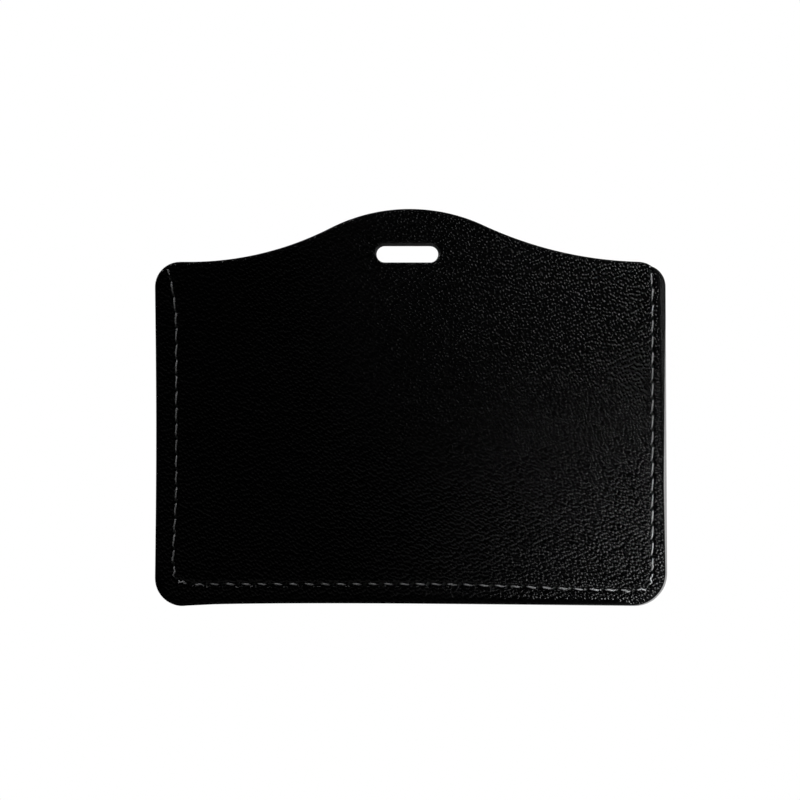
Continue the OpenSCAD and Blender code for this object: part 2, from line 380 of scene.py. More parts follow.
    def slot_outline(self, grow: float = 0.0, lip: float = 0.0) -> Points:
        """Outline of the punched slot.

        Args:
            grow: how much wider it is all round.
            lip: how far its upper edge is let down.

        Returns:
            The outline's points.
        """
        r, straight = (self.slot_h - lip) / 2 + grow, (self.slot_w - self.slot_h) / 2
        middle = self.slot_z - lip / 2
        return np.vstack([arc((self.slot_x + straight, middle), r, -90, 90, self.slot_steps),
                          arc((self.slot_x - straight, middle), r, 90, 270, self.slot_steps)])

    def window_box(self) -> tuple[float, float, float, float]:
        """x of the window's left and right edge, and z of its bottom and top edge."""
        side = self.body_w / 2 - self.border_side
        return -side, side, self.border_low, self.mouth_z - self.border_top

    def window_outline(self) -> Points:
        """Outline of the frame's window.

        Returns:
            The outline's points.
        """
        (x0, x1, z0, z1), r = self.window_box(), self.window_r
        return np.vstack([arc((x1 - r, z0 + r), r, -90, 0), arc((x1 - r, z1 - r), r, 0, 90),
                          arc((x0 + r, z1 - r), r, 90, 180), arc((x0 + r, z0 + r), r, 180, 270)])

    def pocket_line(self) -> Points:
        """The foot of the slope up to the raised pocket, a line whose ends lie above the mouth.

        Returns:
            The line's points.
        """
        left = -self.body_w / 2 + self.seam_left + self.ramp_foot
        right = self.body_w / 2 - self.seam_right - self.ramp_foot
        low, r, top = self.seam_low_left + self.ramp_foot, self.pocket_r, self.body_h + self.pocket_over
        return np.vstack([[[left, top]], arc((left + r, low + r), r, 180, 270),
                          arc((right - r, low + r), r, 270, 360), [[right, top]]])

    def needle_holes(self) -> Points:
        """Middles of the needle holes, evenly spaced along the seam from the top left.

        Returns:
            The middles.
        """
        top_left, top_right = self.body_h - self.seam_end_left, self.body_h - self.seam_end_right
        corner_z = self.seam_low_left + self.seam_r

        def swing(z: np.ndarray, top: float, reach: float, length: float) -> np.ndarray:
            """How far the seam leans aside near one of its ends."""
            return reach * np.maximum(0, (z - top + length) / length) ** 2

        def seam_x(z: np.ndarray) -> np.ndarray:
            """x of the left seam, with its flare and its stray."""
            moved = swing(z, top_left, self.flare, self.flare_len) + self.stray * hill(
                (z - self.stray_h) / self.stray_len)
            return -self.body_w / 2 + self.seam_left - moved

        def seam_z(x: np.ndarray) -> np.ndarray:
            """z of the bottom seam, which falls to the right."""
            return self.seam_low_left + (self.seam_low_right - self.seam_low_left) * ease(2 * x / self.body_w)

        down = top_left + (corner_z - top_left) * np.arange(self.seam_steps) / self.seam_steps
        corner_left = float(seam_x(np.array([corner_z]))[0]) + self.seam_r
        side = self.body_w / 2 - self.seam_right
        corner_right = side - self.seam_r
        x = corner_left + (corner_right - corner_left) * np.arange(1, self.seam_steps) / self.seam_steps
        up = top_right - self.lean_len * (1 - np.arange(self.lean_steps + 1) / self.lean_steps)
        line = np.vstack([
            np.stack([seam_x(down), down], axis=1), arc((corner_left, corner_z), self.seam_r, 180, 270),
            np.stack([x, seam_z(x)], axis=1),
            arc((corner_right, self.seam_low_right + self.seam_r), self.seam_r, 270, 360),
            np.stack([side - swing(up, top_right, self.lean, self.lean_len), up], axis=1)])
        run = run_of(line)
        at = np.linspace(0, run[-1], round(run[-1] / self.stitch_pitch) + 1)
        return np.stack([np.interp(at, run, line[:, 0]), np.interp(at, run, line[:, 1])], axis=1)

    def to_frame(self, points: Points) -> Points:
        """Panel points in millimetres to the shared frame, whose origin is the slot's middle, in metres."""
        return (points - np.array([self.slot_x, 0, self.slot_z])) * MM


def along_holes(holes: Points) -> Points:
    """The seam's direction at each needle hole."""
    last = len(holes) - 1
    return np.array([unit(holes[min(k + 1, last)] - holes[max(k - 1, 0)]) for k in range(last + 1)])


# Cutting and forming a sheet


@dataclass
class Places:
    """Where a sheet's points are, for the functions that shape its faces.

    edge, cut and hole are distances to the outline, to the nearest cut-out and to the nearest needle hole.
    stitch counts the stitches along the seam, and aside is the distance from it, above zero on its left.
    into_pocket is the distance past the foot of the pocket's slope.
    """

    x: np.ndarray
    z: np.ndarray
    edge: np.ndarray
    cut: np.ndarray
    hole: np.ndarray
    stitch: np.ndarray
    aside: np.ndarray
    into_pocket: np.ndarray


Shape = Callable[[Places], np.ndarray]


@dataclass
class Scatter:
    """Plane points that keep their distance, each filed under the square that it lies in."""

    square: float = 0.5
    points: list[Points] = field(default_factory=list)
    filed: dict[tuple[int, int], list[int]] = field(default_factory=dict)

    def square_of(self, p: Points) -> tuple[int, int]:
        """The square that a point lies in."""
        return int(p[0] // self.square), int(p[1] // self.square)

    def put(self, p: Points) -> None:
        """Adds a point."""
        self.filed.setdefault(self.square_of(p), []).append(len(self.points))
        self.points.append(p)

    def keep(self, candidates: Points, gap: float) -> None:
        """Adds the candidates that lie at least a gap from all points so far.

        Args:
            candidates: the points to choose from, in order.
            gap: the least distance between two points.
        """
        reach = math.ceil(gap / self.square)
        for p in candidates:
            i, j = self.square_of(p)
            near = (self.points[n] for a in range(i - reach, i + reach + 1)
                    for b in range(j - reach, j + reach + 1) for n in self.filed.get((a, b), ()))
            if all((p[0] - q[0]) ** 2 + (p[1] - q[1]) ** 2 >= gap * gap for q in near):
                self.put(p)


@dataclass
class CutSheet:
    """A sheet cut to an outline and punched, meshed finely where it bends."""

    plan: Plan
    outline: Points
    cuts: list[Points]
    hole_r: float
    edge_rings: tuple[float, ...] = (0.06, 0.14, 0.25, 0.4, 0.65, 1.1, 1.7)
    hole_rings: tuple[float, ...] = (0.12, 0.26, 0.42)
    seam_rows: tuple[float, ...] = (0.22, 0.42, 0.8, 1.35)
    hole_sides: int = 12
    stitch_steps: int = 8
    outline_step: float = 0.75
    cut_step: float = 0.45
    open_step: float = 2.0
    row_share: float = 0.866
    rim_gap: float = 0.05
    ring_gap: float = 0.3
    hole_gap: float = 0.1
    seam_gap: float = 0.22
    mark_gap: float = 0.35
    open_gap: float = 1.1
    marks: list[Points] = field(default_factory=list)
    good: Good = Good.NEAR
    rim_w: float = 0.0
    sharp_deg: float = 50.0

    def _round_hole(self, middle: Points, r: float, turn: float = 0.0) -> Points:
        """Points round a needle hole."""
        return arc(middle, r, turn, turn + 360 - 360 / self.hole_sides, self.hole_sides - 1)

    def _seam_points(self, holes: Points) -> Points:
        """Rows of points on the seam and beside it.

        Args:
            holes: the middles of the needle holes.

        Returns:
            The points, stitch by stitch.
        """
        rows = (0.0, *self.seam_rows, *(-row for row in self.seam_rows))
        made = []
        for a, b in zip(holes[:-1], holes[1:]):
            side = left_of(unit(b - a))
            made += [a + (b - a) * t + side * row for t in np.arange(self.stitch_steps) / self.stitch_steps
                     for row in rows]
        return np.array(made)

    def _open_points(self) -> Points:
        """A wide grid of points, every other row shifted by half a step.

        Returns:
            The points.
        """
        (x0, z0), (x1, z1) = self.outline.min(0), self.outline.max(0)
        return np.array([(x + (row % 2) * self.open_step / 2, z)
                         for row, z in enumerate(np.arange(z0, z1, self.open_step * self.row_share))
                         for x in np.arange(x0, x1, self.open_step)])

    def _plane_mesh(self) -> tuple[Points, np.ndarray]:
        """Meshes the cut sheet in its plane.

        Returns:
            The plane points and the triangles, all facing the same way.
        """
        holes = self.plan.needle_holes()
        outline = spaced(self.outline, self.outline_step, closed=True)
        cuts = [spaced(c, self.cut_step, closed=True) for c in self.cuts]
        loops = [outline, *cuts, *(self._round_hole(h, self.hole_r) for h in holes)]
        found = Scatter()
        edges = []
        for loop in loops:
            first = len(found.points)
            for p in loop:
                found.put(p)
            edges += [(first + k, first + (k + 1) % len(loop)) for k in range(len(loop))]
        for d in self.edge_rings:
            gap = self.rim_gap + d / 2 if d < self.ring_gap else self.ring_gap
            for loop, way in [(outline, d), *((c, -d) for c in cuts)]:
                found.keep(inset(loop, way), gap)
        for k, grow in enumerate(self.hole_rings):
            turn = 180 / self.hole_sides * (k % 2)
            for h in holes:
                found.keep(self._round_hole(h, self.hole_r + grow, turn), self.hole_gap)
        found.keep(self._seam_points(holes), self.seam_gap)
        for mark in self.marks:
            found.keep(mark, self.mark_gap)
        found.keep(self._open_points(), self.open_gap)
        spots = [Vector(p) for p in found.points]
        points, _, faces, *_ = delaunay_2d_cdt(spots, edges, [], 0, SAME_POINT)
        return self._cut_out(np.array([tuple(p) for p in points]), np.array(faces), loops)

    def _cut_out(self, flat: Points, tris: np.ndarray, loops: list[Points]) -> tuple[Points, np.ndarray]:
        """Drops what lies outside the outline or in an opening.

        Args:
            flat: the plane points.
            tris: the triangles over all of them.
            loops: the outline, and then the cut-outs and the needle holes.

        Returns:
            The points and the triangles that are left, the triangles all facing the same way.
        """
        middle = flat[tris].mean(axis=1)
        kept = inside(middle, loops[0])
        for loop in loops[1:]:
            near = np.all((middle > loop.min(0)) & (middle < loop.max(0)), axis=1) & kept
            kept[np.nonzero(near)[0]] &= ~inside(middle[near], loop)
        used, renumbered = np.unique(tris[kept], return_inverse=True)
        flat, tris = flat[used], renumbered.reshape(-1, 3)
        a, b, c = (flat[tris[:, i]] for i in range(3))
        turned = (b[:, 0] - a[:, 0]) * (c[:, 1] - a[:, 1]) - (b[:, 1] - a[:, 1]) * (c[:, 0] - a[:, 0]) < 0
        tris[turned] = tris[turned][:, ::-1]
        return flat, tris

    def _places(self, flat: Points) -> Places:
        """Measures what the shaping functions need to know at each point.

        Args:
            flat: the plane points.

        Returns:
            The measures.
        """
        holes = self.plan.needle_holes()
        best = np.full(len(flat), FAR_OFF)
        stitch, aside = np.zeros(len(flat)), np.zeros(len(flat))
        for k, (a, b) in enumerate(zip(holes[:-1], holes[1:])):
            t = np.clip(((flat - a) @ (b - a)) / ((b - a) @ (b - a)), 0, 1)
            off = flat - a - t[:, None] * (b - a)
            d = np.linalg.norm(off, axis=1)
            sign = np.sign(off @ left_of(unit(b - a)))
            closer = d < best
            best = np.where(closer, d, best)
            stitch = np.where(closer, k + t, stitch)
            aside = np.where(closer, d * np.where(sign == 0, 1, sign), aside)
        hole = np.min([np.linalg.norm(flat - h, axis=1) for h in holes], axis=0)
        cut = np.min([np.full(len(flat), FAR_OFF), *(gap_to(flat, c) for c in self.cuts)], axis=0)
        foot = self.plan.pocket_line()
        into = gap_to(flat, foot) * np.where(inside(flat, foot), 1, -1)
        return Places(flat[:, 0], flat[:, 1], gap_to(flat, self.outline), cut, hole, stitch, aside, into)

    def build(self, name: str, near: Shape, far: Shape, pressed: Shape | None = None) -> bpy.types.Object:
        """Builds the closed sheet between two shaped faces.

        Args:
            name: the piece's name.
            near: gives y of the face towards the plain back.
            far: gives y of the face towards the window front.
            pressed: gives the share of its grain that the edge has lost, kept with the mesh.

        Returns:
            The piece. Its good faces have the first material. Its other face, its cut walls and its rim
            have the second.
        """
        flat, tris = self._plane_mesh()
        at = self._places(flat)
        n, count = len(flat), len(tris)
        both = np.vstack([np.stack([flat[:, 0], y, flat[:, 1]], axis=1) for y in (near(at), far(at))])
        there = {(int(a), int(b)) for a, b in np.vstack([tris[:, [0, 1]], tris[:, [1, 2]], tris[:, [2, 0]]])}
        rim = sorted((a, b) for a, b in there if (b, a) not in there)
        faces = [tuple(t) for t in tris.tolist()] + [tuple(t[::-1]) for t in (tris + n).tolist()]
        faces += [(b, a, a + n, b + n) for a, b in rim]
        mesh = bpy.data.meshes.new(name)
        mesh.from_pydata(self.plan.to_frame(both).tolist(), [], faces)
        second = np.ones(len(faces), np.int32)
        if self.good is not Good.FAR:
            second[:count] = 0
        if self.good is not Good.NEAR:
            second[count:2 * count] = 0
        second[:2 * count] |= np.tile(at.edge[tris].mean(axis=1) < self.rim_w, 2)
        mesh.polygons.foreach_set("material_index", second)
        mesh.polygons.foreach_set("use_smooth", np.ones(len(faces), bool))
        mesh.set_sharp_from_angle(angle=math.radians(self.sharp_deg))
        if pressed is not None:
            share = mesh.attributes.new("pressed", "FLOAT", "POINT")
            share.data.foreach_set("value", np.tile(pressed(at), 2).astype(np.float32))
        mesh.update()
        return new_object(name, mesh)


# Finishes


def add_node(tree: Tree, kind: str, values: dict[str | int, object] | None = None,
             links: dict[str | int, Node | Socket] | None = None, **settings: object) -> Node:
    """Adds a node with its settings and links.

    Args:
        tree: the node tree.
        kind: the node's type name.
        values: what its input sockets are set to.
        links: which socket feeds which of its inputs. A node stands for its first output.
        settings: its own properties.

    Returns:
        The node.
    """
    made = tree.nodes.new(kind)
    for name, value in settings.items():
        setattr(made, name, value)
    for socket, value in (values or {}).items():
        made.inputs[socket].default_value = value
    for socket, source in (links or {}).items():
        tree.links.new(source.outputs[0] if isinstance(source, Node) else source, made.inputs[socket])
    return made


@dataclass(frozen=True)
class Finish:
    """What every finish has: a name, and a shader laid out over the piece's own coordinates."""

    name: str

    def shader(self, tree: Tree, place: Socket) -> Node:
        """Lays out the shader.

        Args:
            tree: the material's node tree.
            place: the piece's own coordinates.

        Returns:
            The shader's last node.
        """
        raise NotImplementedError

    def make(self) -> bpy.types.Material:
        """Builds the material.

        Returns:
            The material.
        """
        made = bpy.data.materials.new(self.name)
        made.use_nodes = True
        tree = made.node_tree
        tree.nodes.clear()
        place = add_node(tree, "ShaderNodeTexCoord").outputs["Object"]
        add_node(tree, "ShaderNodeOutputMaterial", links={"Surface": self.shader(tree, place)})
        return made


@dataclass(frozen=True)
class TonedFinish(Finish):
    """A finish whose colour wanders between two tones."""

    dark: str
    light: str

    def toned(self, tree: Tree, noise_node: Node) -> Node:
        """Spreads a noise over the two tones.

        Args:
            tree: the material's node tree.
            noise_node: the noise.

        Returns:
            The node that gives the colour.
        """
        made = add_node(tree, "ShaderNodeValToRGB", links={"Fac": noise_node})
        for stop, share, tone in zip(made.color_ramp.elements, NOISE_SHARES, (self.dark, self.light)):
            stop.position, stop.color = share, linear(tone)
        return made


@dataclass(frozen=True)
class EmbossedLeather(TonedFinish):
    """PVC imitation leather, its pebble grain pressed in by a hot roller.

    The roller leaves small pebbles that run together here and there, with narrow creases between them. The
    eye sees a black field on which each pebble carries one glint, on its side towards the light. The real
    pebbles, about 0.47 mm wide, are too fine to show in the picture. They are drawn coarser here.
    """

    name: str = "pvc_leather_embossed"
    dark: str = "000000"
    light: str = "020203"
    tone_mm: float = 1000 / 60
    pebble_mm: float = 0.6  # drawn coarser than the real 0.47 mm
    stretch: float = 1.5
    tilt_deg: float = -25.0
    unruly: float = 0.7
    bend: float = 0.3
    dome_foot: float = 0.44
    depth_mm: float = 0.15
    pressed_share: float = 0.12
    draw_mm: float = 1.1
    draw_stretch: float = 0.3
    draw_share: float = 0.3
    rough_pebble: float = 0.15
    rough_crease: float = 0.22
    specular: float = 0.16

    def shader(self, tree: Tree, place: Socket) -> Node:
        """Lays out the shader.

        Args:
            tree: the material's node tree.
            place: the piece's own coordinates.

        Returns:
            The shader's last node.
        """
        pebble_w, draw_w = self.pebble_mm * MM, self.draw_mm * MM
        grain = add_node(tree, "ShaderNodeMapping", {
            "Scale": (pebble_w, pebble_w * self.stretch, pebble_w),
            "Rotation": (math.pi / 2, math.radians(self.tilt_deg), 0)}, {"Vector": place},
            vector_type="TEXTURE")
        warp = add_node(tree, "ShaderNodeTexNoise", {"Scale": 0.6, "Detail": 1.0}, {"Vector": grain})
        bent = add_node(tree, "ShaderNodeVectorMath", {1: (self.bend,) * 3},
                        {0: warp.outputs["Color"], 2: grain}, operation="MULTIPLY_ADD")
        pebble = add_node(tree, "ShaderNodeTexVoronoi", {"Scale": 1.0, "Randomness": self.unruly},
                          {"Vector": bent}, feature="F1", voronoi_dimensions="2D")
        square = add_node(tree, "ShaderNodeMath", links={0: pebble, 1: pebble}, operation="MULTIPLY")
        dome = add_node(tree, "ShaderNodeMapRange", {"From Min": self.dome_foot, "From Max": 0.0},
                        {"Value": square})
        drawn = add_node(tree, "ShaderNodeMapping", {
            "Scale": (1 / draw_w, 1 / draw_w, self.draw_stretch / draw_w)}, {"Vector": place})
        crease = add_node(tree, "ShaderNodeTexNoise", {"Scale": 1.0, "Detail": 2.0, "Distortion": 0.6},
                          {"Vector": drawn})
        height = add_node(tree, "ShaderNodeMath", {1: self.draw_share}, {0: crease, 2: dome},
                          operation="MULTIPLY_ADD")
        pressed = add_node(tree, "ShaderNodeAttribute", attribute_name="pressed")
        strength = add_node(tree, "ShaderNodeMapRange", {"To Min": 1.0, "To Max": self.pressed_share},
                            {"Value": pressed.outputs["Fac"]})
        bump = add_node(tree, "ShaderNodeBump", {"Distance": self.depth_mm * MM},
                        {"Height": height, "Strength": strength})
        rough = add_node(tree, "ShaderNodeMapRange", {
            "To Min": self.rough_crease, "To Max": self.rough_pebble}, {"Value": dome})
        tone = add_node(tree, "ShaderNodeTexNoise", {"Scale": 1 / (self.tone_mm * MM), "Detail": 3.0},
                        {"Vector": place})
        return add_node(tree, "ShaderNodeBsdfPrincipled", {"Specular IOR Level": self.specular},
                        {"Base Color": self.toned(tree, tone), "Roughness": rough, "Normal": bump})


@dataclass(frozen=True)
class MattStock(TonedFinish):
    """A dull stock with a fine tooth, such as pressed board, a leather's cut edge or spun thread.

    A knife or a spinning frame leaves short fibres, so the surface is dull and slightly mottled.
    """

    tooth_mm: float = 0.3
    detail: float = 4.0
    depth_mm: float = 0.03
    strength: float = 1.0
    rough: float = 0.8
    layered: float = 1.0
    specular: float = 0.5
    sheen: float = 0.0

    def shader(self, tree: Tree, place: Socket) -> Node:
        """Lays out the shader.

        Args:
            tree: the material's node tree.
            place: the piece's own coordinates.

        Returns:
            The shader's last node.
        """
        per_mm = 1 / (self.tooth_mm * MM)
        spread = add_node(tree, "ShaderNodeMapping", {"Scale": (per_mm, per_mm * self.layered, per_mm)},
                          {"Vector": place})
        tooth = add_node(tree, "ShaderNodeTexNoise", {"Scale": 1.0, "Detail": self.detail},
                         {"Vector": spread})
        bump = add_node(tree, "ShaderNodeBump", {
            "Strength": self.strength, "Distance": self.depth_mm * MM}, {"Height": tooth})
        return add_node(tree, "ShaderNodeBsdfPrincipled", {
            "Roughness": self.rough, "Specular IOR Level": self.specular, "Sheen Weight": self.sheen,
            "Sheen Roughness": 0.4}, {"Base Color": self.toned(tree, tooth), "Normal": bump})


@dataclass(frozen=True)
class VinylLining(TonedFinish):
    """Black lining vinyl, calendered with a very fine haircell so that a card slides on it.

    The eye sees an even satin black with broad soft reflections.
    """

    name: str = "vinyl_lining_calendered"
    dark: str = "0B0B0C"
    light: str = "101011"
    tone_mm: float = 1000 / 90
    cell_mm: float = 0.45
    depth_mm: float = 0.012
    rough: float = 0.34

    def shader(self, tree: Tree, place: Socket) -> Node:
        """Lays out the shader.

        Args:
            tree: the material's node tree.
            place: the piece's own coordinates.

        Returns:
            The shader's last node.
        """
        cells = add_node(tree, "ShaderNodeTexVoronoi", {"Scale": 1 / (self.cell_mm * MM)}, {"Vector": place})
        tone = add_node(tree, "ShaderNodeTexNoise", {"Scale": 1 / (self.tone_mm * MM), "Detail": 3.0},
                        {"Vector": place})
        bump = add_node(tree, "ShaderNodeBump", {"Strength": 1.0, "Distance": self.depth_mm * MM},
                        {"Height": cells})
        return add_node(tree, "ShaderNodeBsdfPrincipled", {"Roughness": self.rough},
                        {"Base Color": self.toned(tree, tone), "Normal": bump})


@dataclass(frozen=True)
class ClearVinyl(Finish):
    """Clear soft vinyl film, calendered and faintly grey.

    It is see-through with a slight haze, bends what lies behind it a little and shines where it bends. Its
    sewn margin is scuffed, and its greyer tint there is painted shade for the grey of light bent through its
    edge.
    """

    name: str = "clear_vinyl_calendered"
    tint: str = "D2D3D3"
    haze_mm: float = 9.0
    haze_depth_mm: float = 0.05
    ior: float = 1.5
    rough_low: float = 0.05
    rough_high: float = 0.16

    def shader(self, tree: Tree, place: Socket) -> Node:
        """Lays out the shader.

        Args:
            tree: the material's node tree.
            place: the piece's own coordinates.

        Returns:
            The shader's last node.
        """
        haze = add_node(tree, "ShaderNodeTexNoise", {"Scale": 1 / (self.haze_mm * MM), "Detail": 3.0},
                        {"Vector": place})
        rough = add_node(tree, "ShaderNodeMapRange", {"To Min": self.rough_low, "To Max": self.rough_high},
                         {"Value": haze})
        bump = add_node(tree, "ShaderNodeBump", {"Strength": 0.4, "Distance": self.haze_depth_mm * MM},
                        {"Height": haze})
        return add_node(tree, "ShaderNodeBsdfPrincipled", {
            "Base Color": linear(self.tint), "IOR": self.ior, "Transmission Weight": 1.0},
            {"Roughness": rough, "Normal": bump})


@dataclass(frozen=True)
class FloorPaint(Finish):
    """Pale paint, rolled on a floor, which fades into the white sweep far from the wallet.

    The two radii between which it fades are in metres.
    """

    name: str = "floor_paint_rolled"
    pale: str = "EDEDEB"
    clear_r: float = 0.22
    fade_r: float = 0.78

    def shader(self, tree: Tree, place: Socket) -> Node:
        """Lays out the shader.

        Args:
            tree: the material's node tree.
            place: the piece's own coordinates.

        Returns:
            The shader's last node.
        """
        far = add_node(tree, "ShaderNodeVectorMath", links={0: place}, operation="LENGTH")
        fade = add_node(tree, "ShaderNodeMapRange", {"From Min": self.clear_r, "From Max": self.fade_r},
                        {"Value": far.outputs["Value"]}, interpolation_type="SMOOTHSTEP")
        path = add_node(tree, "ShaderNodeLightPath")
        seen = add_node(tree, "ShaderNodeMath", links={0: fade, 1: path.outputs["Is Camera Ray"]},
                        operation="MULTIPLY")
        paint = add_node(tree, "ShaderNodeBsdfPrincipled", {
            "Base Color": linear(self.pale), "Roughness": 0.7})
        sweep = add_node(tree, "ShaderNodeEmission", {"Color": WHITE, "Strength": 1.0})
        return add_node(tree, "ShaderNodeMixShader", links={0: seen, 1: paint, 2: sweep})


def greyboard() -> MattStock:
    """Board pressed from grey pulp in layers, matt, with a rough cut edge that shows the layers."""
    return MattStock("greyboard_pressed", "35332F", "55524C", tooth_mm=0.25, depth_mm=0.04, layered=2.2)


def edge_ink() -> MattStock:
    """The black ink that the back leather's cut edge is painted with, a dull line just over its corner."""
    return MattStock("edge_ink_brushed", "020202", "060606", tooth_mm=0.2, specular=0.05)


def knit_backing() -> MattStock:
    """The imitation leather's knitted backing, seen on the frame's edges and inner face, a dull charcoal."""
    return MattStock("leather_knit_backing", "2A2A2B", "48484A", tooth_mm=0.22, depth_mm=0.05)


def lining_cloth() -> MattStock:
    """The lining vinyl's woven grey backing, whose fibres show along its cut edges."""
    return MattStock("lining_woven_backing", "6A6A6B", "8A8A8C", tooth_mm=0.2, depth_mm=0.05)


def sewing_thread() -> MattStock:
    """Spun polyester, twisted and lightly waxed. Its fine fibres give a soft grey sheen along each ply."""
    return MattStock("polyester_thread_three_ply", "79797B", "CACACC", tooth_mm=0.06, detail=3.0,
                     depth_mm=0.02, strength=0.6, rough=0.55, sheen=0.3)


def film_margin_painted_shade() -> ClearVinyl:
    """The film's sewn margin, scuffed rougher by the needle. Its greyer tint is painted shade for the grey
    that light bent through the film's edge gives it.
    """
    # The greyer tint A9A9A9 is painted shade: it stands for the grey that light bent through the film's edge
    # gives it.
    return ClearVinyl("clear_vinyl_margin_painted_shade", tint="A9A9A9", rough_low=0.08, rough_high=0.2)


# Sub-assemblies


def dress(piece: bpy.types.Object, materials: list[bpy.types.Material], node: str) -> None:
    """Gives a piece its materials and puts it in the place of its solid.

    Args:
        piece: the piece.
        materials: its materials, in the order of its material slots.
        node: the solid that it stands for.
    """
    for material in materials:
        piece.data.materials.append(material)
    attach(piece, "root")
    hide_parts(node)
    LOG.info("%s stands for %s, %d faces", piece.name, node, len(piece.data.polygons))


def rounded(gap: np.ndarray, depth: float, reach: float) -> np.ndarray:
    """How far a thin sheet's face falls towards its cut edge, steeply at the very edge."""
    return depth * (1 - np.sqrt(np.clip(gap / reach, 0, 1)))


@dataclass(frozen=True)
class LeatherRelief:
    """How worked leather gives way at its edges, its seam and its needle holes."""

    roll: float = 0.16
    fall: float = 0.14
    fall_reach: float = 2.2
    valley: float = 0.2
    valley_half: float = 0.2
    pucker: float = 0.10
    pucker_out: float = 0.68
    pucker_half: float = 0.22
    funnel: float = 0.45
    funnel_reach: float = 0.26
    funnel_long: float = 0.5
    hole_r: float = 0.45
    sway: Swell = Swell(0.03, 17.0, 3.3)
    dents: Swell = Swell(0.01, 4.0, 8.1)
    flat_rim: float = 1.35
    flat_top: float = 9.0
    flat_top_fade: float = 4.0
    flat_right: float = 49.0
    flat_right_fade: float = 5.0

    def sunk(self, at: Places) -> np.ndarray:
        """How far the good face lies below its level, everywhere on the sheet.

        Args:
            at: where the sheet's points are.

        Returns:
            The depth at each point.
        """
        depth = np.zeros(len(at.x))
        for gap in (at.edge, at.cut):
            depth += self.roll - np.sqrt(self.roll**2 - np.maximum(self.roll - gap, 0) ** 2)
        depth += self.fall * np.maximum(0, 1 - at.edge / self.fall_reach) ** 2
        depth += self.valley * np.exp(-(at.aside / self.valley_half) ** 4)
        at_hole = (1 + np.cos(2 * np.pi * at.stitch)) / 2
        depth -= (self.pucker * np.exp(-((np.abs(at.aside) - self.pucker_out) / self.pucker_half) ** 2)
                  * at_hole**2)
        along = np.sqrt(np.maximum(at.hole**2 - at.aside**2, 0)) * self.funnel_long
        off = np.maximum(np.hypot(along, at.aside) - self.hole_r * self.funnel_long, 0)
        depth += self.funnel * np.exp(-(off / self.funnel_reach) ** 2)
        return depth + self.sway.over(at.x, at.z) + self.dents.over(at.x, at.z)

    def pressed(self, at: Places) -> np.ndarray:
        """The share of its grain that the leather has lost along the bottom, where a cutter pressed it."""
        low = ease((self.flat_top - at.z) / self.flat_top_fade) * ease(
            (self.flat_right - at.x) / self.flat_right_fade)
        return np.exp(-(at.edge / self.flat_rim) ** 4) * low


@dataclass
class BackPanel:
    """The plain leather back with its board and lining."""

    plan: Plan
    relief: LeatherRelief = LeatherRelief()
    slot_grow: float = 0.05
    slot_drop: float = 0.17
    lip: float = 0.65
    inked_w: float = 0.42
    lining_hole_r: float = 0.55
    lining_roll: float = 0.1
    lining_roll_reach: float = 0.12
    lining_valley: float = 0.04
    lining_valley_half: float = 0.8
    lining_sway: Swell = Swell(0.012, 14.0, 5.0)

    def lining_face(self, at: Places) -> np.ndarray:
        """y of the lining's smooth face, which sinks along the seam and sways a little.

        Args:
            at: where the sheet's points are.

        Returns:
            y at each point.
        """
        return (self.plan.film_y - rounded(at.edge, self.lining_roll, self.lining_roll_reach)
                - self.lining_valley * np.exp(-(at.aside / self.lining_valley_half) ** 2)
                + self.lining_sway.over(at.x, at.z))

    def build(self) -> None:
        """Builds the leather and the lining, and dresses them and the board."""
        plan, relief = self.plan, self.relief
        punched = plan.slot_outline(self.slot_grow, self.slot_drop)
        leather = CutSheet(plan, plan.back_outline(), [punched], relief.hole_r, rim_w=self.inked_w).build(
            "back_leather_grained", lambda at: plan.back_face + relief.sunk(at),
            lambda at: np.full(len(at.x), plan.board_y), relief.pressed)
        dress(leather, [EmbossedLeather().make(), edge_ink().make()], "back_leather")
        lining = CutSheet(plan, plan.back_outline(), [plan.slot_outline(lip=self.lip)], self.lining_hole_r,
                          edge_rings=(0.06, 0.14, 0.3, 1.0), good=Good.FAR).build(
            "lining_vinyl", lambda at: np.full(len(at.x), plan.lining_y), self.lining_face)
        dress(lining, [VinylLining().make(), lining_cloth().make()], "inner_lining")
        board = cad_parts["backing_board"]
        board.data.materials.clear()
        board.data.materials.append(greyboard().make())
        LOG.info("backing_board keeps its solid and takes its board finish")


